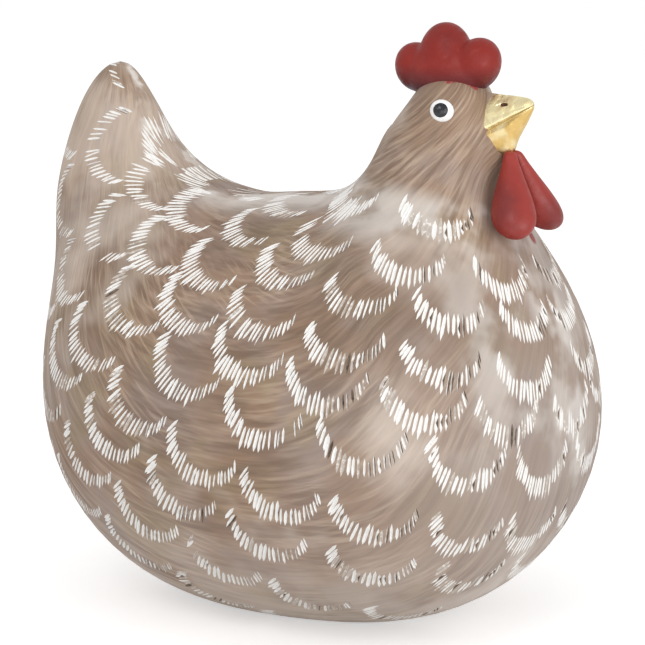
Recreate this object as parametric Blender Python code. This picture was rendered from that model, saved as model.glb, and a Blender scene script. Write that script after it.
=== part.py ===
# Hen figurine, cast in one piece: a plump body with a raised tail, a three-lobed comb,
# a beak, two wattles, two eyes and rows of feathers cut into the surface as short notches.
# Metres, +Z up, +X towards the beak. The origin is on the floor under the middle of the hen.

import math

import bmesh
import bpy
import numpy
from mathutils import Matrix, Vector
from mathutils.bvhtree import BVHTree

mm = 0.001

# Body: sections in half planes that fan round a pivot above the saddle of the back
pivot_x = -10.6 * mm
pivot_z = 149 * mm
tail_end_angle = 2.5
head_end_angle = 179
# Angle in degrees (0 points to the tail, 90 down and 180 to the head), then in mm the near
# edge, the far edge and the half width, and how far the widest place lies past the middle
body_sections = [
    (7, 45.5, 58.5, 5.5, 0.05),
    (18, 42, 68.5, 10.5, 0.1),
    (32, 41.5, 79.5, 19, 0.12),
    (46, 41, 93, 28.5, 0.08),
    (62, 39, 126.5, 45, 0.07),
    (80, 37, 148.5, 55, 0.08),
    (98, 36, 152.5, 58.5, 0.1),
    (116, 38.5, 154, 58.5, 0.15),
    (130, 41, 137.5, 50.5, 0.22),
    (142, 41, 106, 33, 0.19),
    (152, 40, 79, 19, 0.06),
    (162, 41.5, 68.5, 14.5, 0),
    (170, 44.5, 65.5, 12.5, 0),
    (174, 46.5, 64, 10.5, 0),
]
sections_along_body = 40
points_around_body = 28
end_crowding = 0.5
# Where rays start that look for the skin from outside
outside = 500 * mm

# Comb: plump lobes that lean outwards from one root on the crown
comb_x = 41.5 * mm
comb_sink = 1.5 * mm
# Offset forwards, offset up, half length, half width, half height in mm and lean in degrees
comb_lobes = {
    "comb_root": (1, 0.8, 12, 6.2, 6.5, 0),
    "comb_rear_lobe": (-8.9, 2.1, 6, 5.8, 6.8, -24),
    "comb_middle_lobe": (-0.1, 5.2, 7.4, 6.6, 9.2, 0),
    "comb_front_lobe": (9.2, 3.8, 6.2, 6.2, 7, 24),
}

# Beak: one wedge of two closed mandibles, measured from the front of the face
beak_drop = 8.5 * mm
# Distance forwards, top edge, mouth line, bottom edge and half width in mm
beak_stations = [
    (-6, 4.3, -8.5, -13, 6.6),
    (1, 3.5, -5.9, -11.3, 5.6),
    (4, 3.3, -4.2, -11.2, 4.7),
    (6.6, 3.2, -2.6, -10.9, 3.8),
    (7.6, 3.1, -2, -8.9, 3.5),
    (9, 3, -1.1, -6.3, 2.9),
    (10.5, 2.8, -0.2, -3.4, 2.1),
    (11.7, 2.3, 0.5, -0.9, 1.3),
    (12.3, 1.7, 0.9, 0.1, 0.6),
]
points_around_beak = 14
mouth_width = 0.9 * mm
mouth_depth = 0.6 * mm
nostril_forward = 5.3 * mm
nostril_rise = 1.1 * mm
nostril_length = 1.8 * mm
nostril_width = 0.9 * mm
nostril_depth = 0.5 * mm

# Wattles: drops that hang from under the beak, lean forwards and spread to the sides
wattle_root = (7.2 * mm, 2.1 * mm, -10.2 * mm)
wattle_foot = (13 * mm, 9.5 * mm, -32.2 * mm)
wattle_depth = 1.12
# Share of the way from root to foot, and radius in mm
wattle_sections = [
    (0, 1.7),
    (0.15, 2.1),
    (0.35, 3),
    (0.55, 4.2),
    (0.7, 5),
    (0.82, 5.1),
    (0.92, 4),
    (0.98, 2.2),
    (1, 0.8),
]
points_around_wattle = 10

# Eyes: low domes on the sides of the head, each with a raised pupil
eye_forward = 4.6 * mm
eye_drop = 8.95 * mm
eye_radius = 3.2 * mm
eye_rise = 1 * mm
eye_sink = 0.3 * mm
pupil_radius = 2.1 * mm
pupil_back = 0.4 * mm
pupil_rise = 1 * mm

# Feathers: rows at equal distances from a point inside the neck, staggered like roof tiles
feather_source_x = 42 * mm
feather_source_z = 143 * mm
# Distance from the source and pitch in mm, first feather's share of a pitch, width and depth in mm
feather_rows = [
    (38, 27.5, 0.85, 19, 8),
    (52.5, 28, 0.45, 19, 9),
    (64, 25, 0.1, 19, 8),
    (78, 26.5, 0.8, 21, 8.5),
    (88.5, 25.5, 0.75, 22, 9.5),
    (100.5, 28, 0.95, 23, 10),
    (115.5, 25, 0.4, 22, 9),
    (125.5, 27.5, 0.4, 22, 9),
    (136.5, 24.5, 0.05, 21, 9),
    (147, 24, 0.5, 22, 9),
]
feather_opening = 80
row_step = 1 * mm
row_steps = 400
# A first feather nearer the middle line than this share of a pitch is put on the line
snap_share = 0.35
stroke_fan = 0.32
notches_per_feather = 5
notch_length = 4.4 * mm
notch_width = 1.5 * mm
notch_depth = 0.9 * mm
notch_lift = 0.6 * mm
notch_gap = 3.2 * mm
bare_rim = 2 * mm
bare_foot = 9 * mm


def smooth_curve(places, values):
    """Natural cubic spline through the values, as a function of the place."""
    x = numpy.array(places, float)
    y = numpy.array(values, float)
    gap = numpy.diff(x)
    slope = numpy.diff(y) / gap
    system = numpy.eye(len(x))
    right = numpy.zeros(len(x))
    for i in range(1, len(x) - 1):
        system[i, i - 1:i + 2] = gap[i - 1], 2 * (gap[i - 1] + gap[i]), gap[i]
        right[i] = 6 * (slope[i] - slope[i - 1])
    bend = numpy.linalg.solve(system, right)

    def value(place):
        i = int(numpy.clip(numpy.searchsorted(x, place) - 1, 0, len(gap) - 1))
        after = place - x[i]
        before = x[i + 1] - place
        curved = (bend[i] * before ** 3 + bend[i + 1] * after ** 3) / (6 * gap[i])
        start = y[i] / gap[i] - bend[i] * gap[i] / 6
        end = y[i + 1] / gap[i] - bend[i + 1] * gap[i] / 6
        return curved + start * before + end * after

    return value


def rounding(angle):
    """How full the section is at this angle: it falls to nothing at the tail and the head."""
    share = (angle - tail_end_angle) / (head_end_angle - tail_end_angle)
    return 2 * math.sqrt(max(share * (1 - share), 0))


angles = [row[0] for row in body_sections]
mid_distance = smooth_curve(angles, [(near + far) / 2 for _, near, far, _, _ in body_sections])
half_depth = smooth_curve(angles, [(far - near) / 2 / rounding(a) for a, near, far, _, _ in body_sections])
half_width = smooth_curve(angles, [row[3] / rounding(row[0]) for row in body_sections])
belly_shift = smooth_curve(angles, [row[4] for row in body_sections])


def body_point(angle, turn):
    """Point of the skin at a section's angle, turned round the section from its near edge."""
    full = rounding(angle)
    distance = (mid_distance(angle) - half_depth(angle) * full * math.cos(turn)) * mm
    side = half_width(angle) * full * math.sin(turn) * (1 - belly_shift(angle) * math.cos(turn)) * mm
    lean = math.radians(angle)
    return Vector((pivot_x - distance * math.cos(lean), side, pivot_z - distance * math.sin(lean)))


def make_body():
    """A sphere whose poles become the tail's tip and the crown, cut flat where it stands."""
    bm = bmesh.new()
    bmesh.ops.create_uvsphere(bm, u_segments=points_around_body, v_segments=sections_along_body, radius=1)
    for vert in bm.verts:
        height = max(-1, min(vert.co.z, 1))
        share = (1 - height) / 2 * end_crowding + math.acos(height) / math.pi * (1 - end_crowding)
        angle = tail_end_angle + (head_end_angle - tail_end_angle) * share
        vert.co = body_point(angle, math.atan2(vert.co.y, vert.co.x))
    edges = bm.verts[:] + bm.edges[:] + bm.faces[:]
    cut = bmesh.ops.bisect_plane(bm, geom=edges, plane_co=(0, 0, 0), plane_no=(0, 0, -1), clear_outer=True)
    rim = [e for e in cut["geom_cut"] if isinstance(e, bmesh.types.BMEdge)]
    bmesh.ops.contextual_create(bm, geom=rim)
    bmesh.ops.recalc_face_normals(bm, faces=bm.faces)
    return bm


def make_ball(radii, place, turn=None, around=12, along=8):
    """An ellipsoid with its own turn and place."""
    bm = bmesh.new()
    bmesh.ops.create_uvsphere(bm, u_segments=around, v_segments=along, radius=1)
    bmesh.ops.scale(bm, vec=radii, verts=bm.verts)
    if turn:
        bmesh.ops.rotate(bm, cent=(0, 0, 0), matrix=turn, verts=bm.verts)
    bmesh.ops.translate(bm, vec=place, verts=bm.verts)
    return bm


def join_rings(bm, rings):
    """Bridge each ring of points to the next and cap both ends."""
    edges = [list({e for v in ring for e in v.link_edges}) for ring in rings]
    for one, other in zip(edges, edges[1:]):
        bmesh.ops.bridge_loops(bm, edges=one + other)
    for end in (edges[0], edges[-1]):
        bmesh.ops.contextual_create(bm, geom=end)
    bmesh.ops.recalc_face_normals(bm, faces=bm.faces)


def make_beak(face):
    """Rings with the mouth line at their widest place."""
    bm = bmesh.new()
    rings = []
    for forward, top, mouth, bottom, aside in beak_stations:
        ring = bmesh.ops.create_circle(bm, segments=points_around_beak, radius=1)["verts"]
        for vert in ring:
            tall = top - mouth if vert.co.y > 0 else mouth - bottom
            vert.co = face + Vector((forward, vert.co.x * aside, mouth + vert.co.y * tall)) * mm
        rings.append(ring)
    join_rings(bm, rings)
    return bm


def make_mouth_groove(face, side):
    """A cutter of diamond section along the mouth line, from its corner almost to the tip."""
    bm = bmesh.new()
    rings = []
    for forward, _, mouth, _, aside in beak_stations[1:-1]:
        ring = bmesh.ops.create_circle(bm, segments=4, radius=1)["verts"]
        for vert in ring:
            place = face + Vector((forward, side * aside, mouth)) * mm
            vert.co = place + Vector((0, vert.co.x * mouth_depth, vert.co.y * mouth_width / 2))
        rings.append(ring)
    join_rings(bm, rings)
    return bm


def make_wattle(face, side):
    """A drop hung on a slanting line, with a level section at each station."""
    root = face + Vector((wattle_root[0], side * wattle_root[1], wattle_root[2]))
    foot = face + Vector((wattle_foot[0], side * wattle_foot[1], wattle_foot[2]))
    bm = bmesh.new()
    rings = []
    for share, radius in wattle_sections:
        ring = bmesh.ops.create_circle(bm, segments=points_around_wattle, radius=radius * mm)["verts"]
        bmesh.ops.scale(bm, vec=(wattle_depth, 1, 1), verts=ring)
        bmesh.ops.translate(bm, vec=root.lerp(foot, share), verts=ring)
        rings.append(ring)
    join_rings(bm, rings)
    return bm


def make_dome(place, normal, radius, rise, around):
    turn = Vector((0, 0, 1)).rotation_difference(normal).to_matrix()
    return make_ball((radius, radius, rise), place, turn, around, 6)


def make_object(name, bm, material):
    mesh = bpy.data.meshes.new(name)
    bmesh.ops.triangulate(bm, faces=[f for f in bm.faces if len(f.verts) > 4])
    bm.to_mesh(mesh)
    bm.free()
    for each in materials.values():
        mesh.materials.append(each)
    mesh.polygons.foreach_set("material_index", [list(materials).index(material)] * len(mesh.polygons))
    mesh.shade_smooth()
    piece = bpy.data.objects.new(name, mesh)
    bpy.context.scene.collection.objects.link(piece)
    return piece


def combine(figure, piece, operation):
    """Join a piece to the figure, or cut it out of it, with a live Boolean."""
    piece.hide_render = True
    piece.display_type = "WIRE"
    piece.parent = figure
    boolean = figure.modifiers.new(piece.name, "BOOLEAN")
    boolean.operation = operation
    boolean.solver = "EXACT"
    boolean.object = piece


def make_paint(name, color, roughness, metallic=0):
    paint = bpy.data.materials.new(name)
    paint.use_nodes = True
    shader = paint.node_tree.nodes["Principled BSDF"]
    shader.inputs["Base Color"].default_value = (*color, 1)
    shader.inputs["Roughness"].default_value = roughness
    shader.inputs["Metallic"].default_value = metallic
    paint.diffuse_color = (*color, 1)
    return paint


def skin_search(bm):
    bm.normal_update()
    return BVHTree.FromBMesh(bm)


def row_start(distance):
    """Where the body's middle line, from the crown over the back and tail, is this far off."""
    back_line = [body_point(angle, 0) for angle in numpy.arange(168, tail_end_angle, -0.5)]
    back_line += [body_point(angle, math.pi) for angle in numpy.arange(tail_end_angle, 90, 0.5)]
    return next((p for p in back_line if (p - feather_source).length > distance), None)


def row_path(skin, distance):
    """Points of the skin at one distance from the feathers' source, from back to front."""
    point = row_start(distance)
    path = []
    while point is not None and len(path) < row_steps:
        path.append(point)
        normal = skin.find_nearest(point)[1]
        away = (point - feather_source) - (point - feather_source).project(normal)
        along = normal.cross(away).normalized()
        if along.y < 0 and len(path) == 1:
            along.negate()
        if len(path) > 1 and along.dot(path[-1] - path[-2]) < 0:
            along.negate()
        error = distance - (point - feather_source).length
        point = skin.find_nearest(point + along * row_step + away.normalized() * error)[0]
        if point.y < 0:
            break
    return path


def feather_places(skin):
    """Middle of each feather on the +Y side, with its width and depth."""
    places = []
    for distance, pitch, first, width, depth in feather_rows:
        path = row_path(skin, distance * mm)
        length = len(path) * row_step
        shares = [first + number for number in range(math.ceil(length / (pitch * mm)))]
        if first < snap_share:
            shares[0] = 0
        elif first > 1 - snap_share:
            shares.insert(0, 0)
        for share in shares:
            step = round(share * pitch * mm / row_step)
            if step < len(path):
                places.append((path[step], width * mm, depth * mm))
    return places


def stroke_lines(skin, middle, width, depth):
    """Start, direction and skin normal of each stroke round one feather's edge."""
    normal = skin.find_nearest(middle)[1]
    away = middle - feather_source
    down = (away - away.project(normal)).normalized()
    across = down.cross(normal)
    opening = math.radians(feather_opening)
    strokes = []
    for number in range(notches_per_feather):
        turn = opening * (2 * (number + 0.5) / notches_per_feather - 1)
        aside = width / 2 * math.sin(turn) / math.sin(opening)
        below = depth * ((math.cos(turn) - math.cos(opening)) / (1 - math.cos(opening)) - 0.5)
        place, lift, _, _ = skin.find_nearest(middle + across * aside + down * below)
        aim = down * math.cos(stroke_fan * turn) + across * math.sin(stroke_fan * turn)
        strokes.append((place, (aim - aim.project(lift)).normalized(), lift))
    return strokes


def make_notches(skin, blocked):
    """Cutters for every notch: a long triangle above the skin that runs to a point below it."""
    bm = bmesh.new()
    taken = []
    for middle, width, depth in feather_places(skin):
        sides = (1, -1) if middle.y > bare_rim else (1,)
        for side in sides:
            centre = Vector((middle.x, middle.y * side, middle.z))
            for place, aim, lift in stroke_lines(skin, centre, width, depth):
                spots = [place + aim * notch_length * share for share in (-0.4, 0, 0.4)]
                near = any((spot - other).length < notch_gap for spot in spots for other in taken)
                covered = any(search.find_nearest(place)[3] < bare_rim for search in blocked)
                if near or covered or place.z < bare_foot:
                    continue
                taken += spots
                wide = lift.cross(aim)
                grow = 1 + notch_lift / notch_depth
                top = [bm.verts.new(place + lift * notch_lift + offset * grow)
                       for offset in (-aim * notch_length / 2,
                                      (aim * notch_length - wide * notch_width) / 2,
                                      (aim * notch_length + wide * notch_width) / 2)]
                root = bm.verts.new(place + aim * notch_length / 6 - lift * notch_depth)
                bm.faces.new(top)
                for one, other in zip(top, top[1:] + top[:1]):
                    bm.faces.new((other, one, root))
    bmesh.ops.recalc_face_normals(bm, faces=bm.faces)
    return bm


for old in list(bpy.data.objects):
    bpy.data.objects.remove(old, do_unlink=True)

feather_source = Vector((feather_source_x, 0, feather_source_z))

materials = {
    "taupe_paint": make_paint("taupe_paint", (0.35, 0.26, 0.2), 0.65),
    "white_wash": make_paint("white_wash", (0.8, 0.77, 0.73), 0.75),
    "red_paint": make_paint("red_paint", (0.25, 0.04, 0.032), 0.5),
    "gold_leaf": make_paint("gold_leaf", (0.72, 0.53, 0.25), 0.35, 1),
    "eye_white": make_paint("eye_white", (0.8, 0.8, 0.79), 0.4),
    "eye_black": make_paint("eye_black", (0.01, 0.011, 0.014), 0.15),
}

body = make_body()
skin = skin_search(body)
crown = skin.ray_cast(Vector((comb_x, 0, outside)), Vector((0, 0, -1)))[0]
face = skin.ray_cast(Vector((outside, 0, crown.z - beak_drop)), Vector((-1, 0, 0)))[0]
hen = make_object("hen_figurine", body, "taupe_paint")

joined = {}
marks = {}
for name, (forward, up, *half_sizes, lean) in comb_lobes.items():
    place = crown + Vector((forward * mm, 0, up * mm - comb_sink))
    turn = Matrix.Rotation(math.radians(lean), 3, "Y")
    joined[name] = (make_ball(Vector(half_sizes) * mm, place, turn), "red_paint")
joined["beak"] = (make_beak(face), "gold_leaf")
beak_skin = skin_search(joined["beak"][0])
for side, name in ((-1, "right"), (1, "left")):
    joined["wattle_" + name] = (make_wattle(face, side), "red_paint")
    start = Vector((crown.x + eye_forward, side * outside, crown.z - eye_drop))
    place, normal, _, _ = skin.ray_cast(start, Vector((0, -side, 0)))
    place -= normal * eye_sink
    joined["eye_" + name] = (make_dome(place, normal, eye_radius, eye_rise, 16), "eye_white")
    place += normal * (eye_rise - pupil_rise / 2) - Vector((pupil_back, 0, 0))
    joined["pupil_" + name] = (make_dome(place, normal, pupil_radius, pupil_rise, 13), "eye_black")
    marks["mouth_" + name] = make_mouth_groove(face, side)
    start = face + Vector((nostril_forward, side * outside, nostril_rise))
    place = beak_skin.ray_cast(start, Vector((0, -side, 0)))[0]
    size = (nostril_length / 2, nostril_depth, nostril_width / 2)
    marks["nostril_" + name] = make_ball(size, place, None, 8, 4)
blocked = [skin_search(bm) for name, (bm, _) in joined.items() if name.startswith(("wattle", "beak"))]
for name, (bm, material) in joined.items():
    combine(hen, make_object(name, bm, material), "UNION")
for name, bm in marks.items():
    combine(hen, make_object(name, bm, "gold_leaf"), "DIFFERENCE")
combine(hen, make_object("feather_notches", make_notches(skin, blocked), "white_wash"), "DIFFERENCE")
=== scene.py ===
import math
import random

import bmesh
import bpy
import numpy as np
from mathutils import Matrix, Vector, noise
from mathutils.bvhtree import BVHTree


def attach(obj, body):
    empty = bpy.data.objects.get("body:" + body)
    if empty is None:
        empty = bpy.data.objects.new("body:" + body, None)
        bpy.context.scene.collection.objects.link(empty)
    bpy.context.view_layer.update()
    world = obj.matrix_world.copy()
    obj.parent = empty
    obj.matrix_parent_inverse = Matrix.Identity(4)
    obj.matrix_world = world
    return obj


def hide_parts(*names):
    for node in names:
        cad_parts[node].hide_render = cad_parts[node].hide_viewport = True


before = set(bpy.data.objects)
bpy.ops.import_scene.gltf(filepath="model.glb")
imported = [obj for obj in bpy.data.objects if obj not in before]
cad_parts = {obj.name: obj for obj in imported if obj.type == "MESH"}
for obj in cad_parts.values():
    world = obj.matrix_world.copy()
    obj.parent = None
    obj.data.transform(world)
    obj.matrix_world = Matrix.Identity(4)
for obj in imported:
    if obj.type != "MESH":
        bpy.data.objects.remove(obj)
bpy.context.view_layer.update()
mm = 0.001
random.seed(7)

# Camera and studio

camera = {
    "azimuth": 30,  # degrees round the hen, 0 looks along +Y
    "elevation": 10.5,
    "distance": 620 * mm,
    "target": (5.4, 0, 77),  # mm
    "pixelSize": 0.2717,  # mm at the target's distance
    "targetPixel": (325.75, 327.3),
    "frameSize": 645,  # pixels
    "sensor": 36,
}


def addCamera():
    azimuth = math.radians(camera["azimuth"])
    elevation = math.radians(camera["elevation"])
    target = Vector(camera["target"]) * mm
    away = Vector((math.sin(azimuth) * math.cos(elevation),
                   -math.cos(azimuth) * math.cos(elevation),
                   math.sin(elevation)))
    lens = bpy.data.cameras.new("camera")
    viewer = bpy.data.objects.new("camera", lens)
    bpy.context.scene.collection.objects.link(viewer)
    viewer.location = target + away * camera["distance"]
    viewer.rotation_euler = (-away).to_track_quat("-Z", "Y").to_euler()
    lens.sensor_width = camera["sensor"]
    viewWidth = camera["frameSize"] * camera["pixelSize"] * mm
    lens.lens = camera["sensor"] * camera["distance"] / viewWidth
    middle = camera["frameSize"] / 2
    lens.shift_x = (middle - camera["targetPixel"][0]) / camera["frameSize"]
    lens.shift_y = (camera["targetPixel"][1] - middle) / camera["frameSize"]
    lens.clip_start = 0.02
    bpy.context.scene.camera = viewer


studio = {
    "worldLight": 0.74,
    # name, direction from the hen, distance and size in m, power in W
    "lamps": [
        ("keyLamp", (0.1, -0.8, 0.7), 1.1, 0.4, 1.3),
        ("fillLamp", (0.95, -0.4, 0.2), 1.2, 0.9, 4.6),
        ("lowLamp", (0.6, -1, 0.05), 1.3, 0.9, 2.7),
    ],
    "floorSize": 4,
    "floorColor": 0.8,
    "floorGlow": 0.48,
}


def addStudio():
    scene = bpy.context.scene
    scene.view_settings.view_transform = "Standard"
    world = bpy.data.worlds.new("studioWorld")
    scene.world = world
    world.use_nodes = True
    nodes = world.node_tree.nodes
    links = world.node_tree.links
    background = nodes["Background"]
    background.inputs["Color"].default_value = (1, 1, 1, 1)
    path = nodes.new("ShaderNodeLightPath")
    seen = nodes.new("ShaderNodeMath")
    seen.operation = "MAXIMUM"
    links.new(path.outputs["Is Camera Ray"], seen.inputs[0])
    links.new(path.outputs["Is Transmission Ray"], seen.inputs[1])
    strength = nodes.new("ShaderNodeMapRange")
    links.new(seen.outputs[0], strength.inputs["Value"])
    strength.inputs["To Min"].default_value = studio["worldLight"]
    strength.inputs["To Max"].default_value = 1
    links.new(strength.outputs["Result"], background.inputs["Strength"])

    middle = Vector(camera["target"]) * mm
    for name, direction, distance, size, power in studio["lamps"]:
        light = bpy.data.lights.new(name, "AREA")
        light.shape = "DISK"
        light.size = size
        light.energy = power
        lamp = bpy.data.objects.new(name, light)
        scene.collection.objects.link(lamp)
        away = Vector(direction).normalized()
        lamp.location = middle + away * distance
        lamp.rotation_euler = (-away).to_track_quat("-Z", "Y").to_euler()

    bm = bmesh.new()
    bmesh.ops.create_grid(bm, x_segments=1, y_segments=1, size=studio["floorSize"] / 2)
    floor = addObject("floor", bm, [addFloorMaterial()])


def addFloorMaterial():
    material = bpy.data.materials.new("paleFloor")
    material.use_nodes = True
    nodes = material.node_tree.nodes
    links = material.node_tree.links
    nodes.remove(nodes["Principled BSDF"])
    diffuse = nodes.new("ShaderNodeBsdfDiffuse")
    diffuse.inputs["Color"].default_value = (*[studio["floorColor"]] * 3, 1)
    glow = nodes.new("ShaderNodeEmission")
    path = nodes.new("ShaderNodeLightPath")
    seen = nodes.new("ShaderNodeMath")
    seen.operation = "MAXIMUM"
    links.new(path.outputs["Is Camera Ray"], seen.inputs[0])
    links.new(path.outputs["Is Glossy Ray"], seen.inputs[1])
    strength = nodes.new("ShaderNodeMath")
    strength.operation = "MULTIPLY"
    strength.inputs[1].default_value = studio["floorGlow"]
    links.new(seen.outputs[0], strength.inputs[0])
    links.new(strength.outputs[0], glow.inputs["Strength"])
    both = nodes.new("ShaderNodeAddShader")
    links.new(diffuse.outputs[0], both.inputs[0])
    links.new(glow.outputs[0], both.inputs[1])
    links.new(both.outputs[0], nodes["Material Output"].inputs["Surface"])
    return material


def addObject(name, bm, materials, smooth=True):
    mesh = bpy.data.meshes.new(name)
    bm.to_mesh(mesh)
    bm.free()
    for material in materials:
        mesh.materials.append(material)
    if smooth:
        mesh.shade_smooth()
    piece = bpy.data.objects.new(name, mesh)
    bpy.context.scene.collection.objects.link(piece)
    return piece


def addPiece(piece):
    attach(piece, "root")
    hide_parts("hen_figurine")
    print("piece", piece.name, len(piece.data.polygons), "faces")


# Paint, as node groups that several finishes share

def feed(links, socket, value):
    if isinstance(value, (int, float)):
        socket.default_value = value
    else:
        links.new(value, socket)


def compute(nodes, links, operation, first, second):
    node = nodes.new("ShaderNodeMath")
    node.operation = operation
    feed(links, node.inputs[0], first)
    feed(links, node.inputs[1], second)
    return node.outputs[0]


def smoothStep(nodes, links, value, low, high):
    # 0 at low, 1 at high and eased between them; low may be the greater
    node = nodes.new("ShaderNodeMapRange")
    node.interpolation_type = "SMOOTHSTEP"
    feed(links, node.inputs["Value"], value)
    feed(links, node.inputs["From Min"], low)
    feed(links, node.inputs["From Max"], high)
    return node.outputs["Result"]


def addNoise(nodes, links, vector, scale, detail, roughness):
    node = nodes.new("ShaderNodeTexNoise")
    links.new(vector, node.inputs["Vector"])
    feed(links, node.inputs["Scale"], scale)
    node.inputs["Detail"].default_value = detail
    node.inputs["Roughness"].default_value = roughness
    return node.outputs["Fac"]


def newGroup(name, inputs):
    group = bpy.data.node_groups.new(name, "ShaderNodeTree")
    for label, kind, value in inputs:
        made = group.interface.new_socket(label, in_out="INPUT", socket_type=kind)
        made.default_value = value
    group.interface.new_socket("Mask", in_out="OUTPUT", socket_type="NodeSocketFloat")
    start = group.nodes.new("NodeGroupInput")
    end = group.nodes.new("NodeGroupOutput")
    return group, start.outputs, end.inputs["Mask"]


def makeStreaks():
    # Dry brush marks: noise drawn out along X of the brush coordinates. Slope turns them round X as they
    # go, in radians per metre. They are coarser at the tail and on the neck, where the body is narrow.
    group, given, mask = newGroup("brushStreaks", [
        ("Vector", "NodeSocketVector", (0, 0, 0)),
        ("Slope", "NodeSocketFloat", 0),
        ("Length", "NodeSocketFloat", 60),
        ("Fineness", "NodeSocketFloat", 900),
        ("Shift", "NodeSocketFloat", 0),
        ("Low", "NodeSocketFloat", 0.45),
        ("High", "NodeSocketFloat", 0.6),
    ])
    nodes, links = group.nodes, group.links
    split = nodes.new("ShaderNodeSeparateXYZ")
    links.new(given["Vector"], split.inputs[0])
    along = split.outputs["X"]
    turned = nodes.new("ShaderNodeVectorRotate")
    turned.rotation_type = "X_AXIS"
    links.new(given["Vector"], turned.inputs["Vector"])
    links.new(compute(nodes, links, "MULTIPLY", along, given["Slope"]), turned.inputs["Angle"])
    parts = nodes.new("ShaderNodeSeparateXYZ")
    links.new(turned.outputs["Vector"], parts.inputs[0])
    place = nodes.new("ShaderNodeCombineXYZ")
    drawn = compute(nodes, links, "MULTIPLY", along, given["Length"])
    links.new(compute(nodes, links, "ADD", drawn, given["Shift"]), place.inputs["X"])
    for axis in "YZ":
        fine = compute(nodes, links, "MULTIPLY", parts.outputs[axis], given["Fineness"])
        links.new(fine, place.inputs[axis])
    coarser = nodes.new("ShaderNodeVectorMath")
    coarser.operation = "MULTIPLY"
    links.new(place.outputs["Vector"], coarser.inputs[0])
    coarser.inputs[1].default_value = (1, bodyShape["narrowCoarse"], bodyShape["narrowCoarse"])
    reach = bodyShape["brushReach"] * mm
    narrow = [smoothStep(nodes, links, along, math.radians(none) * reach, math.radians(full) * reach)
              for none, full in bodyShape["narrowFrom"]]
    chosen = nodes.new("ShaderNodeMix")
    links.new(compute(nodes, links, "MAXIMUM", *narrow), chosen.inputs["Factor"])
    for label, source in (("A", place), ("B", coarser)):
        links.new(addNoise(nodes, links, source.outputs["Vector"], 1, 2.5, 0.55), chosen.inputs[label])
    links.new(smoothStep(nodes, links, chosen.outputs["Result"], given["Low"], given["High"]), mask)
    return group


def makeBlotches():
    # Soft patches of a given size
    group, given, mask = newGroup("softBlotches", [
        ("Vector", "NodeSocketVector", (0, 0, 0)),
        ("Scale", "NodeSocketFloat", 40),
        ("Shift", "NodeSocketVector", (0, 0, 0)),
        ("Low", "NodeSocketFloat", 0.4),
        ("High", "NodeSocketFloat", 0.6),
    ])
    nodes, links = group.nodes, group.links
    moved = nodes.new("ShaderNodeVectorMath")
    moved.operation = "ADD"
    links.new(given["Vector"], moved.inputs[0])
    links.new(given["Shift"], moved.inputs[1])
    cloud = addNoise(nodes, links, moved.outputs["Vector"], given["Scale"], 3, 0.5)
    links.new(smoothStep(nodes, links, cloud, given["Low"], given["High"]), mask)
    return group


class Paint:
    # A material under work: each layer goes over the ones before it

    def __init__(self, name, color, roughness):
        self.material = bpy.data.materials.new(name)
        self.material.use_nodes = True
        self.nodes = self.material.node_tree.nodes
        self.links = self.material.node_tree.links
        self.shader = self.nodes["Principled BSDF"]
        self.shader.inputs["Roughness"].default_value = roughness
        self.place = self.nodes.new("ShaderNodeTexCoord").outputs["Object"]
        self.brush = self.place
        base = self.nodes.new("ShaderNodeRGB")
        base.outputs[0].default_value = (*color, 1)
        self.color = base.outputs[0]

    def effect(self, group, vector, values):
        node = self.nodes.new("ShaderNodeGroup")
        node.node_tree = group
        self.links.new(vector, node.inputs["Vector"])
        for label, value in values.items():
            node.inputs[label].default_value = value
        return node.outputs["Mask"]

    def streaks(self, slope, length, fineness, low, high, shift):
        return self.effect(streaksGroup, self.brush, {
            "Slope": slope, "Length": length, "Fineness": fineness, "Low": low, "High": high, "Shift": shift})

    def blotches(self, scale, low, high, shift):
        return self.effect(blotchesGroup, self.place, {
            "Scale": scale, "Low": low, "High": high, "Shift": (shift, shift * 0.7, shift * 1.3)})

    def layer(self, color, *factors):
        # The factors are masks and plain shares, multiplied
        mask = factors[0]
        for factor in factors[1:]:
            mask = compute(self.nodes, self.links, "MULTIPLY", mask, factor)
        node = self.nodes.new("ShaderNodeMix")
        node.data_type = "RGBA"
        self.links.new(mask, node.inputs["Factor"])
        self.links.new(self.color, node.inputs["A"])
        node.inputs["B"].default_value = (*color, 1)
        self.color = node.outputs["Result"]

    def ramp(self, value, low, high):
        return smoothStep(self.nodes, self.links, value, low, high)

    def near(self, center, none, full):
        # Mask by the distance from a place, all in mm: 0 at one distance and 1 at the other
        node = self.nodes.new("ShaderNodeVectorMath")
        node.operation = "DISTANCE"
        self.links.new(self.place, node.inputs[0])
        node.inputs[1].default_value = [c * mm for c in center]
        return self.ramp(node.outputs["Value"], none * mm, full * mm)

    def height(self, none, full):
        split = self.nodes.new("ShaderNodeSeparateXYZ")
        self.links.new(self.place, split.inputs[0])
        return self.ramp(split.outputs["Z"], none * mm, full * mm)

    def attribute(self, name, output="Fac"):
        node = self.nodes.new("ShaderNodeAttribute")
        node.attribute_name = name
        return node.outputs[output]

    def roughen(self, mask, low, high):
        node = self.nodes.new("ShaderNodeMapRange")
        self.links.new(mask, node.inputs["Value"])
        node.inputs["To Min"].default_value = low
        node.inputs["To Max"].default_value = high
        self.links.new(node.outputs["Result"], self.shader.inputs["Roughness"])

    def bump(self, height, distance):
        node = self.nodes.new("ShaderNodeBump")
        node.inputs["Strength"].default_value = 1
        node.inputs["Distance"].default_value = distance
        self.links.new(height, node.inputs["Height"])
        self.links.new(node.outputs["Normal"], self.shader.inputs["Normal"])

    def done(self):
        self.links.new(self.color, self.shader.inputs["Base Color"])
        return self.material


# Body: sections in half planes that fan round a pivot above the saddle of the back

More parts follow.
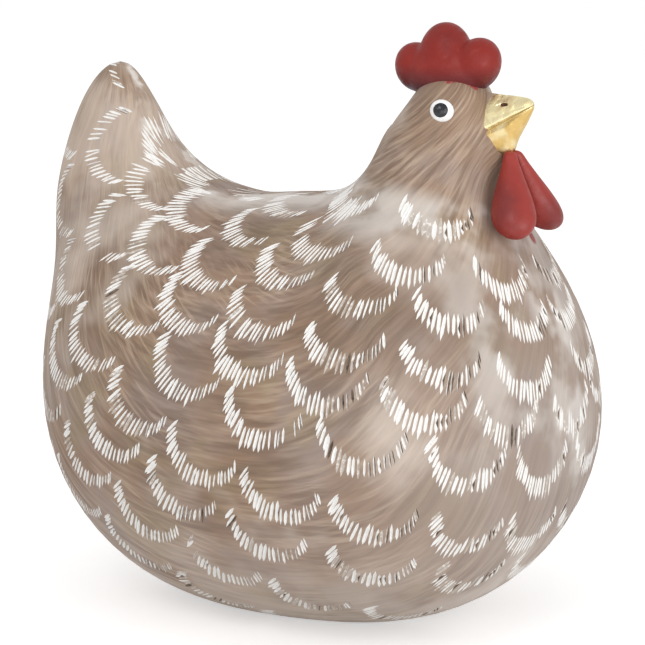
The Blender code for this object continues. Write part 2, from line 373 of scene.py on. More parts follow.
bodyShape = {
    "pivot": (-10.6, 149),  # mm, X and Z
    "ends": (2.5, 179),  # degrees, the tail's tip and the crown
    # degrees (0 to the tail, 90 down, 180 to the head), then mm: near, far, half width; widest place
    "sections": [
        (7, 45.5, 58.5, 5.5, 0.05),
        (18, 42, 68.5, 10.5, 0.1),
        (32, 41.5, 79.5, 19, 0.12),
        (46, 41, 93, 28.5, 0.08),
        (62, 39, 126.5, 45, 0.07),
        (80, 37, 148.5, 55, 0.08),
        (98, 36, 152.5, 58.5, 0.1),
        (116, 38.5, 154, 58.5, 0.15),
        (130, 41, 137.5, 50.5, 0.22),
        (142, 41, 106, 33, 0.19),
        (152, 40, 79, 19, 0.06),
        (162, 41.5, 68.5, 14.5, 0),
        (170, 44.5, 65.5, 12.5, 0),
        (174, 46.5, 64, 10.5, 0),
    ],
    "along": 110,
    "around": 120,
    "crowding": 0.5,  # how far the sections gather at the two ends
    "throat": (54, 128.5),  # mm, X and Z of the middle of the swelling under the beak
    "throatPush": 4,  # mm forwards
    "throatSize": (5, 6.5),  # mm sideways and up
    "brushReach": 90,  # mm from the pivot at which brush marks have their true length
    "brushRadius": 55,  # mm, of the round that they are spread on
    "brushEnds": (4, 177),  # degrees beyond which they stop changing
    "narrowFrom": [(45, 25), (130, 152)],  # degrees between which marks coarsen, tail and neck
    "narrowCoarse": 0.34,  # how much coarser these are, because the body is narrow there
    "twistStart": 132,  # degrees, where brush marks start to wind round the neck
    "neckTwist": 3,  # turn for each radian on
    "twistEase": 0.15,  # radians in which it sets in
}


streaksGroup = makeStreaks()
blotchesGroup = makeBlotches()


def smoothCurve(places, values):
    x = np.array(places, float)
    y = np.array(values, float)
    gap = np.diff(x)
    slope = np.diff(y) / gap
    system = np.eye(len(x))
    right = np.zeros(len(x))
    for i in range(1, len(x) - 1):
        system[i, i - 1:i + 2] = gap[i - 1], 2 * (gap[i - 1] + gap[i]), gap[i]
        right[i] = 6 * (slope[i] - slope[i - 1])
    bend = np.linalg.solve(system, right)

    def value(place):
        i = int(np.clip(np.searchsorted(x, place) - 1, 0, len(gap) - 1))
        after = place - x[i]
        before = x[i + 1] - place
        curved = (bend[i] * before ** 3 + bend[i + 1] * after ** 3) / (6 * gap[i])
        start = y[i] / gap[i] - bend[i] * gap[i] / 6
        end = y[i + 1] / gap[i] - bend[i + 1] * gap[i] / 6
        return curved + start * before + end * after

    return value


def fullness(angle):
    tail, head = bodyShape["ends"]
    share = (angle - tail) / (head - tail)
    return 2 * math.sqrt(max(share * (1 - share), 0))


sections = bodyShape["sections"]
angles = [row[0] for row in sections]
midDistance = smoothCurve(angles, [(near + far) / 2 for _, near, far, _, _ in sections])
halfDepth = smoothCurve(angles, [(far - near) / 2 / fullness(a) for a, near, far, _, _ in sections])
halfWidth = smoothCurve(angles, [row[3] / fullness(row[0]) for row in sections])
bellyShift = smoothCurve(angles, [row[4] for row in sections])


def bodyPoint(angle, turn):
    full = fullness(angle)
    distance = (midDistance(angle) - halfDepth(angle) * full * math.cos(turn)) * mm
    side = halfWidth(angle) * full * math.sin(turn) * (1 - bellyShift(angle) * math.cos(turn)) * mm
    lean = math.radians(angle)
    pivotX, pivotZ = bodyShape["pivot"]
    return Vector((pivotX * mm - distance * math.cos(lean), side, pivotZ * mm - distance * math.sin(lean)))


def makeBody():
    bm = bmesh.new()
    bmesh.ops.create_uvsphere(bm, u_segments=bodyShape["around"], v_segments=bodyShape["along"], radius=1)
    tail, head = bodyShape["ends"]
    crowding = bodyShape["crowding"]
    throatX, throatZ = bodyShape["throat"]
    wide, tall = bodyShape["throatSize"]
    for vert in bm.verts:
        height = max(-1, min(vert.co.z, 1))
        share = (1 - height) / 2 * crowding + math.acos(height) / math.pi * (1 - crowding)
        vert.co = bodyPoint(tail + (head - tail) * share, math.atan2(vert.co.y, vert.co.x))
        if vert.co.x > throatX * mm / 2:
            spread = (vert.co.y / wide / mm) ** 2 + ((vert.co.z / mm - throatZ) / tall) ** 2
            vert.co.x += bodyShape["throatPush"] * math.exp(-spread) * mm
    everything = bm.verts[:] + bm.edges[:] + bm.faces[:]
    cut = bmesh.ops.bisect_plane(bm, geom=everything, plane_co=(0, 0, 0), plane_no=(0, 0, -1), clear_outer=True)
    rim = [e for e in cut["geom_cut"] if isinstance(e, bmesh.types.BMEdge)]
    bmesh.ops.contextual_create(bm, geom=rim)
    bmesh.ops.recalc_face_normals(bm, faces=bm.faces)
    bm.normal_update()
    return bm


# Feathers: rows of short strokes, set like roof tiles and carved with a V tool

feathers = {
    "source": (42, 143),  # mm, X and Z of the point that the rows spread from
    # mm: distance from the source, pitch, then phase, width, depth, stroke width
    "rows": [
        (38, 27.5, 0.85, 19, 8, 1.3),
        (52.5, 28, 0.45, 19, 9, 0.95),
        (64, 25, 0.1, 19, 8, 0.95),
        (78, 26.5, 0.8, 21, 8.5, 1),
        (88.5, 25.5, 0.75, 22, 9.5, 1),
        (100.5, 28, 0.95, 23, 10, 1),
        (115.5, 25, 0.4, 22, 9, 1),
        (125.5, 27.5, 0.4, 22, 9, 1),
        (136.5, 24.5, 0.05, 21, 9, 0.95),
        (147, 24, 0.5, 22, 9, 0.95),
    ],
    "opening": 80,  # degrees, half of the round that a feather's edge takes
    "fan": 0.32,  # how much the strokes spread with the edge
    "pitch": 1.36,  # mm between strokes
    "tipLength": 7.8,  # mm
    "armLength": 5.5,
    "frontArm": 0.7,  # how much shorter and thinner the strokes of the arm towards the head are
    "depth": 0.4,
    "lift": 0.25,
    "shadowWalls": (0.08, 0.6),  # share of the strokes with one wall darkened as painted shadow, in general and in the front arm
    "wander": (0.12, 0.25),  # mm across and down, how far strokes stray
    "sway": 0.05,  # radians, of a feather and again of a stroke
    "lengths": (0.75, 1.15),
    "widths": (0.7, 1.2),
    "wear": (45, 0.25),  # fineness of the noise that picks a stroke's paint, and how much chance adds
    "thinFrom": 0.42,
    "bareFrom": 0.85,
    "snap": (0.35, 0.7),  # a row's phase below or above which it has a feather on the middle line
    "footMargin": 1.5,
    "ridge": 18,  # mm either side of the middle of the back and tail where strokes are worn off
    "ridgeLoss": 0.3,  # share of the strokes
    "tailLoss": 0.05,
    "tailFrom": (26, 80, 20),  # mm back and up where the tail starts, and in which it is reached
    "tailThinning": 0.25,
    "gapLevel": 0.58,  # the noise that leaves gaps elsewhere, but for the collar
    "gapScale": 220,
    "faceMargin": (20, 45),  # mm forwards of the face and down from it where strokes stop
    "step": 1,  # mm along a row's path
    "steps": 400,
}


def rowPath(skin, source, distance):
    # Points of the skin at one distance from the source, from the middle of the back to the front
    line = [bodyPoint(a, 0) for a in np.arange(168, bodyShape["ends"][0], -0.5)]
    line += [bodyPoint(a, math.pi) for a in np.arange(bodyShape["ends"][0], 90, 0.5)]
    point = next((p for p in line if (p - source).length > distance), None)
    path = []
    while point is not None and len(path) < feathers["steps"]:
        path.append(point)
        normal = skin.find_nearest(point)[1]
        away = (point - source) - (point - source).project(normal)
        along = normal.cross(away).normalized()
        if (along.y < 0 and len(path) == 1) or (len(path) > 1 and along.dot(path[-1] - path[-2]) < 0):
            along.negate()
        error = distance - (point - source).length
        point = skin.find_nearest(point + along * feathers["step"] * mm + away.normalized() * error)[0]
        if point.y < 0:
            break
    return path


def featherPlaces(path, pitch, phase):
    # Places along the path; a feather near the middle line is put on it
    places = []
    number = 0
    while (number + phase) * pitch < len(path) * feathers["step"]:
        places.append((number + phase) * pitch / feathers["step"])
        number += 1
    below, above = feathers["snap"]
    if phase < below and places:
        places[0] = 0
    if phase > above:
        places.insert(0, 0)
    return [min(round(p), len(path) - 1) for p in places]


whiteWash, thinWash, bareAndShadowStroke = 1, 2, 3  # the body's finishes; 0 is the skin, and the last serves both bare grooves and painted shadow on one wall of a stroke


def strokeShape(bm, start, aim, lift, length, width, finish, dark):
    wide = lift.cross(aim)
    grow = 1 + feathers["lift"] / feathers["depth"]
    place = Matrix((aim, wide, lift)).transposed().to_4x4()
    place.translation = start + lift * (feathers["lift"] - feathers["depth"]) / 2 * mm
    tall = feathers["lift"] + feathers["depth"]
    size = Matrix.Diagonal((length * grow / 2 * mm, width * grow / 2 * mm, tall * mm, 1))
    cone = bmesh.ops.create_cone(bm, cap_ends=True, segments=6, radius1=0, radius2=1, depth=1,
                                 matrix=place @ size @ Matrix.Rotation(math.radians(90), 4, "Z"))
    for face in {f for v in cone["verts"] for f in v.link_faces}:
        face.normal_update()
        # Painted shadow: on a stroke picked as dark, the walls that face one side take the dark finish
        shaded = dark and face.normal.dot(wide) > 0.5
        face.material_index = bareAndShadowStroke if shaded else finish


def featherStrokes(skin, source, middle, width, depth, strokeWidth, collar, clear):
    # Even and odd strokes go into separate meshes, because cutters in one mesh must not overlap
    halves = (bmesh.new(), bmesh.new())
    normal = skin.find_nearest(middle)[1]
    away = middle - source
    down = (away - away.project(normal)).normalized()
    across = down.cross(normal)
    opening = math.radians(feathers["opening"])
    edgeLength = opening * (width / 2 / math.sin(opening) + depth / (1 - math.cos(opening)))
    count = max(5, round(edgeLength / feathers["pitch"]))
    wanderAcross, wanderDown = feathers["wander"]
    sway = feathers["sway"]
    wearScale, wearChance = feathers["wear"]
    back, up, reach = feathers["tailFrom"]
    few, many = feathers["shadowWalls"]
    lean = random.gauss(0, sway)
    for number in range(count):
        turn = opening * (2 * (number + 0.5) / count - 1)
        aside = width / 2 * math.sin(turn) / math.sin(opening) + random.gauss(0, wanderAcross)
        below = depth * (math.cos(turn) - math.cos(opening)) / (1 - math.cos(opening)) - depth / 2
        below += random.gauss(0, wanderDown)
        place, lift, _, _ = skin.find_nearest(middle + (across * aside + down * below) * mm)
        spread = feathers["fan"] * turn + lean + random.gauss(0, sway)
        aim = down * math.cos(spread) + across * math.sin(spread)
        aim = (aim - aim.project(lift)).normalized()
        tip = math.cos(turn) ** 2
        length = feathers["armLength"] + (feathers["tipLength"] - feathers["armLength"]) * tip
        length *= random.uniform(*feathers["lengths"])
        front = max(0, min((across * aside).x / width * 3, 1))
        slim = 1 - (1 - feathers["frontArm"]) * front
        length *= slim
        finish = whiteWash
        worn = noise.noise(place * wearScale) + random.gauss(0, wearChance)
        if worn > feathers["thinFrom"]:
            finish = thinWash
        if worn > feathers["bareFrom"]:
            finish = bareAndShadowStroke
        ridge = max(0, 1 - abs(place.y) / (feathers["ridge"] * mm)) * (place.x < 0 and lift.z > 0.2)
        tail = max(0, min((-place.x / mm - back) / reach, 1)) * max(0, min((place.z / mm - up) / reach, 1))
        lost = max(feathers["ridgeLoss"] * ridge, feathers["tailLoss"] * tail)
        level = noise.noise(place * feathers["gapScale"] + Vector((3, 1, 7)))
        gap = level > feathers["gapLevel"] and not collar
        if gap or random.random() < lost or place.z < feathers["footMargin"] * mm or not clear(place):
            continue
        thickness = strokeWidth * random.uniform(*feathers["widths"]) * slim
        thickness *= 1 - feathers["tailThinning"] * tail
        # A stroke picked here gets painted shadow on one wall
        dark = random.random() < few + (many - few) * front
        strokeShape(halves[number % 2], place, aim, lift, length, thickness, finish, dark)
    return halves


def makeStrokes(skin, clear):
    # One mesh for each mix of odd and even rows, feathers and strokes: neighbours are never together
    source = Vector((feathers["source"][0], 0, feathers["source"][1])) * mm
    groups = [bmesh.new() for _ in range(8)]
    scratch = bpy.data.meshes.new("scratch")
    for row, (distance, pitch, phase, width, depth, strokeWidth) in enumerate(feathers["rows"]):
        path = rowPath(skin, source, distance * mm)
        for number, place in enumerate(featherPlaces(path, pitch, phase)):
            middle = path[place]
            sides = (1, -1) if middle.y > 5 * mm else (1,)
            for side in sides:
                centre = Vector((middle.x, middle.y * side, middle.z))
                halves = featherStrokes(skin, source, centre, width, depth, strokeWidth, row == 0, clear)
                for half, part in enumerate(halves):
                    part.to_mesh(scratch)
                    part.free()
                    groups[row % 2 * 4 + number % 2 * 2 + half].from_mesh(scratch)
    bpy.data.meshes.remove(scratch)
    print("strokes", sum(len(group.verts) for group in groups) // 7)
    return groups


def carve(body, cutters, finishes):
    for number, bm in enumerate(cutters):
        cutter = addObject("strokes" + str(number), bm, finishes, smooth=False)
        boolean = body.modifiers.new("carving" + str(number), "BOOLEAN")
        boolean.operation = "DIFFERENCE"
        boolean.solver = "MANIFOLD"
        boolean.object = cutter
    carved = bpy.data.meshes.new_from_object(body.evaluated_get(bpy.context.evaluated_depsgraph_get()))
    for modifier in list(body.modifiers):
        if modifier.type == "BOOLEAN":
            bpy.data.objects.remove(modifier.object)
    body.modifiers.clear()
    return carved


def smoothNormals(carved, plain):
    # Skin faces take the plain body's normals, so that the cuts don't dent the light round them
    normals = np.zeros(len(plain.vertices) * 3)
    plain.vertices.foreach_get("normal", normals)
    normals = normals.reshape(-1, 3)
    bm = bmesh.new()
    bm.from_mesh(plain)
    bmesh.ops.triangulate(bm, faces=bm.faces)
    bm.faces.ensure_lookup_table()
    tree = BVHTree.FromBMesh(bm)
    corners = [[v.index for v in f.verts] for f in bm.faces]
    points = [v.co.copy() for v in bm.verts]
    bm.free()
    known = {}

    def normalAt(index):
        if index not in known:
            place = carved.vertices[index].co
            hit, _, face, _ = tree.find_nearest(place)
            a, b, c = corners[face]
            pa, pb, pc = points[a], points[b], points[c]
            whole = (pb - pa).cross(pc - pa)
            size = whole.length_squared
            wa = (pb - hit).cross(pc - hit).dot(whole) / size
            wb = (pc - hit).cross(pa - hit).dot(whole) / size
            found = normals[a] * wa + normals[b] * wb + normals[c] * (1 - wa - wb)
            known[index] = Vector(found).normalized()
        return known[index]

    loops = []
    flat = -0.99
    for face in carved.polygons:
        onSkin = face.material_index == 0 and face.normal.z > flat
        for loop in face.loop_indices:
            loops.append(normalAt(carved.loops[loop].vertex_index) if onSkin else face.normal.copy())
    carved.normals_split_custom_set(loops)


def markBody(mesh):
    # Two maps for the paint. Rim: how near a point is to the line round the body's middle, 0 on the sides; it
    # masks painted rim light.
    # Brush: X along the body and the other two round it, so that brush marks follow the skin.
    pivotX, pivotZ = bodyShape["pivot"]
    rims = []
    brushes = []
    for vert in mesh.vertices:
        x, y, z = vert.co / mm
        angle = math.degrees(math.atan2(pivotZ - z, pivotX - x)) % 360
        angle = min(max(angle, bodyShape["brushEnds"][0]), bodyShape["brushEnds"][1])
        depth = halfDepth(angle) * fullness(angle)
        width = halfWidth(angle) * fullness(angle)
        nearer = (midDistance(angle) - math.hypot(x - pivotX, z - pivotZ)) / depth
        aside = y / width / (1 - bellyShift(angle) * max(-1, min(nearer, 1)))
        turn = math.atan2(aside, nearer)
        onNeck = max(math.radians(angle - bodyShape["twistStart"]), 0)
        turn += bodyShape["neckTwist"] * onNeck * onNeck / (onNeck + bodyShape["twistEase"])
        radius = bodyShape["brushRadius"] * mm
        rims.append(1 - min(abs(y) / width, 1))
        brushes += [math.radians(angle) * bodyShape["brushReach"] * mm,
                    math.cos(turn) * radius, math.sin(turn) * radius]
    mesh.attributes.new("rim", "FLOAT", "POINT").data.foreach_set("value", rims)
    mesh.attributes.new("brush", "FLOAT_VECTOR", "POINT").data.foreach_set("vector", brushes)


# The paints

taupe = {
    "base": (0.31, 0.2, 0.138),
    "dark": (0.16, 0.1, 0.065),
    "warm": (0.3, 0.19, 0.12),
    "olive": (0.3, 0.22, 0.13),
    "grey": (0.32, 0.24, 0.2),
    "pale": (0.56, 0.42, 0.31),
    "cream": (0.72, 0.62, 0.54),
    "dusty": (0.42, 0.36, 0.33),
    "berry": (0.32, 0.03, 0.035),
    "rim": (0.76, 0.71, 0.66),
}

# mm, places on the hen with a tone of their own
spots = {
    "throat": (58, 0, 128),
    "lowBreast": (72, -15, 40),
    "breast": (76, -14, 82),
    "shadedRump": (-50, -32, 85),
    "shoulder": (50, -42, 100),
    "flank": (14, -56, 75),
    "tail": (-62, -8, 122),
    "tailEdge": (-68, 0, 134),
    "neck": (42, 0, 143),
    "combSeam": ((51.6, -3.6, 144), (46, -7.6, 145.3)),
    "underWattle": (61.9, 9.8, 104.6),
}


def makeTaupePaint():
    paint = Paint("taupePaint", taupe["base"], 0.6)
    paint.brush = paint.attribute("brush", "Vector")
    paint.layer(taupe["grey"], paint.blotches(30, 0.42, 0.62, 3))
    paint.layer(taupe["warm"], paint.blotches(45, 0.45, 0.62, 8), 0.8)
    paint.layer(taupe["olive"], paint.blotches(50, 0.5, 0.64, 44), 0.7)
    fine = paint.streaks(3, 60, 850, 0.42, 0.65, 0)
    broad = paint.streaks(2, 50, 300, 0.44, 0.62, 40)
    light = paint.streaks(2, 60, 650, 0.44, 0.68, 90)
    slanted = paint.streaks(9, 70, 750, 0.47, 0.68, 140)
    paint.layer(taupe["dark"], broad, 0.42)
    paint.layer(taupe["pale"], light, paint.blotches(40, 0.38, 0.6, 20), 0.5)
    paint.layer(taupe["dark"], fine, paint.blotches(35, 0.36, 0.6, 14), 0.45)
    paint.layer(taupe["pale"], slanted, paint.blotches(30, 0.44, 0.6, 26), 0.5)
    paint.layer(taupe["cream"], paint.blotches(28, 0.56, 0.72, 31), 0.6)
    # Painted rim light: pale in patches along the line round the body's middle, away from the throat
    paint.layer(taupe["rim"], paint.ramp(paint.attribute("rim"), 0.6, 0.9), paint.blotches(45, 0.5, 0.6, 37),
                paint.near(spots["throat"], 20, 34), 0.85)
    paint.layer(taupe["dusty"], paint.near(spots["lowBreast"], 75, 20), 0.45)
    # Painted shade: the rump darkened in patches
    paint.layer(taupe["dark"], paint.near(spots["shadedRump"], 42, 14), paint.blotches(45, 0.34, 0.6, 66), 0.34)
    paint.layer(taupe["dark"], paint.near(spots["shoulder"], 38, 14), paint.blotches(45, 0.34, 0.6, 71), 0.3)
    paint.layer(taupe["dark"], paint.near(spots["flank"], 65, 15), broad, 0.22)
    paint.layer(taupe["cream"], paint.near(spots["tail"], 42, 12), paint.blotches(55, 0.3, 0.62, 17), 0.5)
    paint.layer(taupe["pale"], paint.near(spots["tail"], 42, 12),
                paint.streaks(3, 60, 350, 0.42, 0.62, 170), 0.35)
    paint.layer(taupe["cream"], paint.height(42, 10), paint.blotches(40, 0.34, 0.6, 61), 0.46)
    # Painted rim light along the middle line near the tail's edge
    paint.layer(taupe["rim"], paint.ramp(paint.attribute("rim"), 0.4, 0.75),
                paint.near(spots["tailEdge"], 46, 24), paint.blotches(110, 0.5, 0.6, 19), 0.85)
    # A creamy collar, between two distances from the middle of the neck
    paint.layer(taupe["rim"], paint.near(spots["neck"], 52, 42), paint.near(spots["neck"], 29, 36),
                paint.blotches(70, 0.38, 0.58, 23), 0.6)
    paint.layer(taupe["rim"], paint.near(spots["breast"], 50, 10), paint.blotches(60, 0.42, 0.62, 52), 0.55)
    # Red that ran over the edge
    start, end = (Vector(place) for place in spots["combSeam"])
    drops = [(start.lerp(end, share / 6), 1) for share in range(7)] + [(spots["underWattle"], 2.6)]
    for center, radius in drops:
        paint.layer(taupe["berry"], paint.near(center, radius, radius / 2), 0.9)
    paint.roughen(fine, 0.5, 0.72)
    paint.bump(fine, 0.05 * mm)
    return paint.done()


def makeStrokePaint(name, color, worn, amount):
    paint = Paint(name, color, 0.7)
    paint.layer(worn, paint.blotches(900, 0.5 - amount / 4, 0.62 - amount / 4, 5), amount)
    return paint.done()


reds = {
    "shade": (0.13, 0.012, 0.012),
    "light": (0.4, 0.045, 0.035),
    "speck": (0.45, 0.1, 0.08),
    "baseShade": (0.09, 0.01, 0.012),
    "joint": (0.06, 0.015, 0.03),
}


def makeRedPaint(name, color, gloss, seam):
    # Satin red with painted shade that darkens it towards the base from 4 mm above the seam's height, and a
    # dark joint line just below the seam's height, which is in mm
    paint = Paint(name, color, 0.45)
    paint.shader.inputs["Specular IOR Level"].default_value = gloss
    paint.layer(reds["shade"], paint.blotches(70, 0.45, 0.7, 2), 0.6)
    paint.layer(reds["light"], paint.blotches(60, 0.48, 0.7, 9), 0.5)
    paint.layer(reds["speck"], paint.blotches(500, 0.58, 0.75, 4), 0.12)
    if seam:
        # Painted shade: the red darkens towards the comb's base
        paint.layer(reds["baseShade"], paint.height(seam + 4, seam - 1), 0.75)
        paint.layer(reds["joint"], paint.height(seam - 0.5, seam - 3), 0.7)
    grain = paint.blotches(500, 0.4, 0.6, 6)
    paint.roughen(grain, 0.38, 0.52)
    paint.bump(grain, 0.03 * mm)
    return paint.done()


gold = {
    "leaf": (0.97, 0.85, 0.5),
    "lowerLeaf": (0.64, 0.44, 0.16),
    "tarnish": (0.7, 0.47, 0.18),
    "sheen": (0.92, 0.82, 0.52),
    "ground": (0.35, 0.18, 0.07),
    "mouth": (0.3, 0.15, 0.05),
    "bare": (0.4, 0.3, 0.23),
}


def makeGoldLeaf():
    # Leaf with folds, worn through to the warm ground in a few places
    paint = Paint("goldLeaf", gold["leaf"], 0.3)
    below = paint.attribute("belowMouth")
    paint.layer(gold["lowerLeaf"], paint.ramp(below, 0, 0.8))
    paint.layer(gold["tarnish"], paint.blotches(200, 0.5, 0.7, 3), 0.4)
    paint.layer(gold["sheen"], paint.blotches(150, 0.48, 0.66, 12), 0.6)
    paint.layer(gold["ground"], paint.blotches(320, 0.66, 0.76, 7), 0.5)
    # Painted shade: a dark line along the mouth groove
    paint.layer(gold["mouth"], paint.ramp(below, -0.35, -0.05), paint.ramp(below, 0.3, 0), 0.6)
    paint.layer(gold["bare"], paint.ramp(paint.attribute("bare"), -0.35, 0.35))
    paint.links.new(paint.ramp(paint.attribute("bare"), 0.35, -0.35), paint.shader.inputs["Metallic"])
    folds = paint.blotches(450, 0.35, 0.65, 5)
    paint.roughen(folds, 0.24, 0.42)
    paint.bump(folds, 0.05 * mm)
    return paint.done()


def makeGloss(name, color, stain, roughness):
    paint = Paint(name, color, roughness)
    paint.layer(stain, paint.blotches(400, 0.52, 0.7, 5), 0.5)
    grain = paint.blotches(900, 0.4, 0.6, 6)
    paint.roughen(grain, roughness * 0.85, roughness * 1.2)
    paint.bump(grain, 0.02 * mm)
    return paint.done()


# Comb

comb = {
    "x": 41.5,
    "sink": 1.5,
    # mm forwards, up, half length, half width, half height, and lean in degrees
    "lobes": [
        (0.3, 1.2, 12.2, 8.3, 7.2, 0),
        (-4.6, 3, 5.5, 6.7, 6, 0),
        (4.4, 3.3, 5.5, 6.8, 6, 0),
        (-8.5, 2.5, 5.8, 6.2, 6.6, -24),
        (-0.3, 5.2, 7.2, 6.9, 9.2, 0),
        (8.8, 3.8, 6.1, 6.3, 7, 24),
    ],
    "voxel": 0.4,
    "smoothing": 30,
}


def makeComb(crown, material):
    bm = bmesh.new()
    for forward, up, halfLength, halfThick, halfHeight, lean in comb["lobes"]:
        place = Matrix.Translation(crown + Vector((forward, 0, up - comb["sink"])) * mm)
        turn = Matrix.Rotation(math.radians(lean), 4, "Y")
        size = Matrix.Diagonal((halfLength * mm, halfThick * mm, halfHeight * mm, 1))
        bmesh.ops.create_uvsphere(bm, u_segments=32, v_segments=20, radius=1, matrix=place @ turn @ size)
    piece = addObject("comb", bm, [material])
    remesh = piece.modifiers.new("oneSkin", "REMESH")
    remesh.mode = "VOXEL"
    remesh.voxel_size = comb["voxel"] * mm
    remesh.use_smooth_shade = True
    smooth = piece.modifiers.new("softCreases", "SMOOTH")
    smooth.iterations = comb["smoothing"]
    return piece


# Beak

beak = {
    "drop": 8.5,
    # mm forwards from the face, then top, mouth line, bottom and half width
    "stations": [
        (-6, 4.3, -8.5, -13, 5.6),
        (0.5, 3.6, -6.1, -11.9, 3.9),
        (4, 3.3, -4, -12, 3.3),
        (6.1, 3.2, -2.8, -12, 2.8),
        (6.7, 3.2, -2.4, -11.4, 2.7),
        (7.4, 3.1, -2, -8.7, 2.5),
        (8.8, 3, -1.2, -6.3, 2.1),
        (10.5, 2.8, -0.2, -3.4, 1.65),
        (11.7, 2.3, 0.5, -0.9, 1.05),
        (12.3, 1.7, 0.9, 0.1, 0.5),
    ],
    "around": 72,
    "gathering": 0.42,  # how far the points gather at the mouth line
    "peak": 1.5,  # how far the section narrows to the ridge, and to the keel
    "keel": -0.45,
    "groove": 0.5,  # mm deep
    "grooveHalf": 2.6,  # degrees round the section
    "lip": 0.28,
    "nostril": (4.6, 0.9),  # mm forwards and up
    "leafEdge": (-0.5, -1.6, 0.29),  # mm forwards and up of the leaf's rear edge, and its slope
    "nostrilSize": (1, 0.7, 0.45),
}


def joinRings(bm, edges):
    for one, other in zip(edges, edges[1:]):
        bmesh.ops.bridge_loops(bm, edges=one + other)
    for end in (edges[0], edges[-1]):
        bmesh.ops.contextual_create(bm, geom=end)
    bmesh.ops.recalc_face_normals(bm, faces=bm.faces)


def makeBeak(face, material, bole):
    bm = bmesh.new()
    edges = []
    for forward, top, mouth, bottom, aside in beak["stations"]:
        ring = bmesh.ops.create_circle(bm, segments=beak["around"], radius=1)["verts"]
        small = min(1, aside / 3)
        for vert in ring:
            turn = math.atan2(vert.co.y, vert.co.x)
            turn -= beak["gathering"] * math.sin(2 * turn)
            side, height = math.cos(turn), math.sin(turn)
            side *= max(abs(side), 0.001) ** (beak["peak"] if height > 0 else beak["keel"])
            slope = math.degrees(math.asin(max(-1, min(height, 1))))
            relief = (beak["lip"] * math.exp(-((slope - 9) / 5) ** 2)
                      + beak["lip"] * 0.8 * math.exp(-((slope + 13) / 7) ** 2)
                      - beak["groove"] * math.exp(-(slope / beak["grooveHalf"]) ** 2)) * small
            tall = top - mouth if height > 0 else mouth - bottom
            vert.co = face + Vector((forward, side * (aside + relief), mouth + height * tall)) * mm
        edges.append(list({e for v in ring for e in v.link_edges}))
    joinRings(bm, edges)
    piece = addObject("beak", bm, [material, bole])
    finer = piece.modifiers.new("finer", "SUBSURF")
    finer.levels = finer.render_levels = 1
    nostrils = bmesh.new()
    forward, up = beak["nostril"]
    for side in (-1, 1):
        aside = beakHalfWidth(forward, up)
        place = Matrix.Translation(face + Vector((forward, side * aside, up)) * mm)
        size = Matrix.Diagonal((*[part * mm for part in beak["nostrilSize"]], 1))
        bmesh.ops.create_uvsphere(nostrils, u_segments=20, v_segments=12, radius=1, matrix=place @ size)
    for one in nostrils.faces:
        one.material_index = 1
    piece.data = carve(piece, [nostrils], [material, bole])
    piece.data.shade_smooth()
    forwards = [row[0] for row in beak["stations"]]
    mouths = [row[2] for row in beak["stations"]]
    below = [np.interp((v.co.x - face.x) / mm, forwards, mouths) - (v.co.z - face.z) / mm
             for v in piece.data.vertices]
    piece.data.attributes.new("belowMouth", "FLOAT", "POINT").data.foreach_set("value", below)
    forward, up, slope = beak["leafEdge"]
    bare = [forward + slope * ((v.co.z - face.z) / mm - up) - (v.co.x - face.x) / mm
            + noise.noise(v.co * 900) * 0.8 for v in piece.data.vertices]
    piece.data.attributes.new("bare", "FLOAT", "POINT").data.foreach_set("value", bare)
    return piece


def beakHalfWidth(forward, up):
    # Half width of the upper beak at a height, between the two nearest stations
    for one, other in zip(beak["stations"], beak["stations"][1:]):
        if one[0] <= forward <= other[0]:
            share = (forward - one[0]) / (other[0] - one[0])
            _, top, mouth, _, aside = [a + (b - a) * share for a, b in zip(one, other)]
            return aside * (1 - ((up - mouth) / (top - mouth)) ** 2) ** ((1 + beak["peak"]) / 2)


# Wattles

wattle = {
    "root": (6.4, 1.4, -10.8),  # mm from the front of the face
    "foot": (12.3, 10.1, -32.2),
    "depth": 1.12,  # how much deeper than wide
    # share of the way, radius in mm
    "sections": [
        (0, 1.5),
        (0.1, 1.8),
        (0.2, 2.4),
        (0.35, 3.4),
        (0.5, 4.5),
        (0.65, 5.3),
        (0.78, 5.5),
        (0.9, 4.5),
        (0.97, 2.7),
        (1, 1),
    ],
    "around": 16,
}


def makeWattle(name, face, side, material):
    root = face + Vector((wattle["root"][0], side * wattle["root"][1], wattle["root"][2])) * mm
    foot = face + Vector((wattle["foot"][0], side * wattle["foot"][1], wattle["foot"][2])) * mm
    bm = bmesh.new()
    edges = []
    for share, radius in wattle["sections"]:
        ring = bmesh.ops.create_circle(bm, segments=wattle["around"], radius=1)["verts"]
        bmesh.ops.scale(bm, vec=(radius * wattle["depth"] * mm, radius * mm, 1), verts=ring)
        bmesh.ops.translate(bm, vec=root.lerp(foot, share), verts=ring)
        edges.append(list({e for v in ring for e in v.link_edges}))
    joinRings(bm, edges)
    piece = addObject(name, bm, [material])
    finer = piece.modifiers.new("finer", "SUBSURF")
    finer.levels = finer.render_levels = 2
    return piece


# Eyes

eye = {
    "forward": 4.85,  # mm from the crown
    "drop": 8.85,
    "radius": 3.1,
    "flat": 0.92,  # height as a share of the width
    "pupilFlat": 0.97,
    "rise": 1,
    "sink": 0.3,
    "pupilRadius": 2.05,
    "pupilBack": 0.25,
    "pupilRise": 1,
}


def makeDome(name, place, normal, radius, flat, rise, material):
    turn = Vector((0, 0, 1)).rotation_difference(normal).to_matrix().to_4x4()
    size = Matrix.Diagonal((radius, radius * flat, rise, 1))
    bm = bmesh.new()
    bmesh.ops.create_uvsphere(bm, u_segments=48, v_segments=24, radius=1,
                              matrix=Matrix.Translation(place) @ turn @ size)
    return addObject(name, bm, [material])


# Assembly

addCamera()
addStudio()
print("camera and studio")

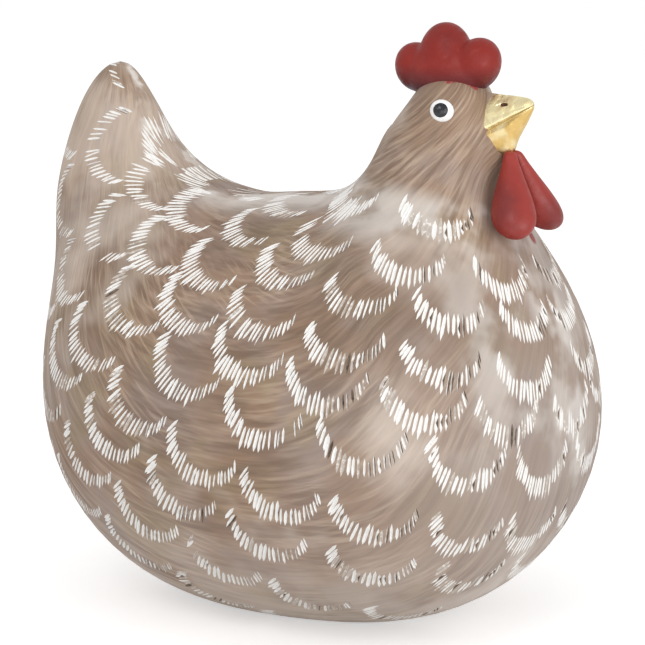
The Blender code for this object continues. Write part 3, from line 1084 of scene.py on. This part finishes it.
goldLeaf = makeGoldLeaf()
redBole = makeGloss("redBole", (0.12, 0.05, 0.025), (0.05, 0.02, 0.012), 0.7)
eyeWhite = makeGloss("eyeWhite", (0.88, 0.88, 0.87), (0.66, 0.63, 0.6), 0.35)
eyeBlack = makeGloss("eyeBlack", (0.01, 0.012, 0.018), (0.03, 0.03, 0.034), 0.14)

bodyMesh = makeBody()
skin = BVHTree.FromBMesh(bodyMesh)
crown = skin.ray_cast(Vector((comb["x"] * mm, 0, 1)), Vector((0, 0, -1)))[0]
face = skin.ray_cast(Vector((1, 0, crown.z - beak["drop"] * mm)), Vector((-1, 0, 0)))[0]
print("crown", [round(c / mm, 2) for c in crown], "face", [round(c / mm, 2) for c in face])

addPiece(makeComb(crown, makeRedPaint("combRed", (0.26, 0.018, 0.012), 0.32, crown.z / mm - 1.2)))
wattleRed = makeRedPaint("wattleRed", (0.31, 0.026, 0.018), 0.5, None)
addPiece(makeBeak(face, goldLeaf, redBole))
for side, name in ((-1, "Right"), (1, "Left")):
    addPiece(makeWattle("wattle" + name, face, side, wattleRed))
    start = Vector((crown.x + eye["forward"] * mm, side, crown.z - eye["drop"] * mm))
    place, normal, _, _ = skin.ray_cast(start, Vector((0, -side, 0)))
    place -= normal * eye["sink"] * mm
    addPiece(makeDome("eyeWhite" + name, place, normal, eye["radius"] * mm, eye["flat"], eye["rise"] * mm,
                      eyeWhite))
    place += normal * (eye["rise"] - eye["pupilRise"] / 2) * mm - Vector((eye["pupilBack"], 0, 0)) * mm
    addPiece(makeDome("pupil" + name, place, normal, eye["pupilRadius"] * mm, eye["pupilFlat"],
                      eye["pupilRise"] * mm, eyeBlack))


def clearOfFace(place):
    forwards, down = feathers["faceMargin"]
    return place.x < face.x + forwards * mm or place.z < face.z - down * mm


finishes = [makeTaupePaint(),
            makeStrokePaint("whiteWash", (0.88, 0.87, 0.85), (0.7, 0.62, 0.54), 0.2),
            makeStrokePaint("thinWash", (0.82, 0.78, 0.73), (0.3, 0.22, 0.16), 0.5),
            # Dark finish of bare grooves, also painted shadow on one wall of some strokes
            makeStrokePaint("bareAndShadowStroke", (0.09, 0.062, 0.044), (0.4, 0.31, 0.23), 0.3)]
body = addObject("body", bodyMesh, finishes)
plain = body.data
carved = carve(body, makeStrokes(skin, clearOfFace), finishes)
smoothNormals(carved, plain)
markBody(carved)
body.data = carved
addPiece(body)
carved.calc_loop_triangles()
print("carved body", len(carved.loop_triangles), "triangles")
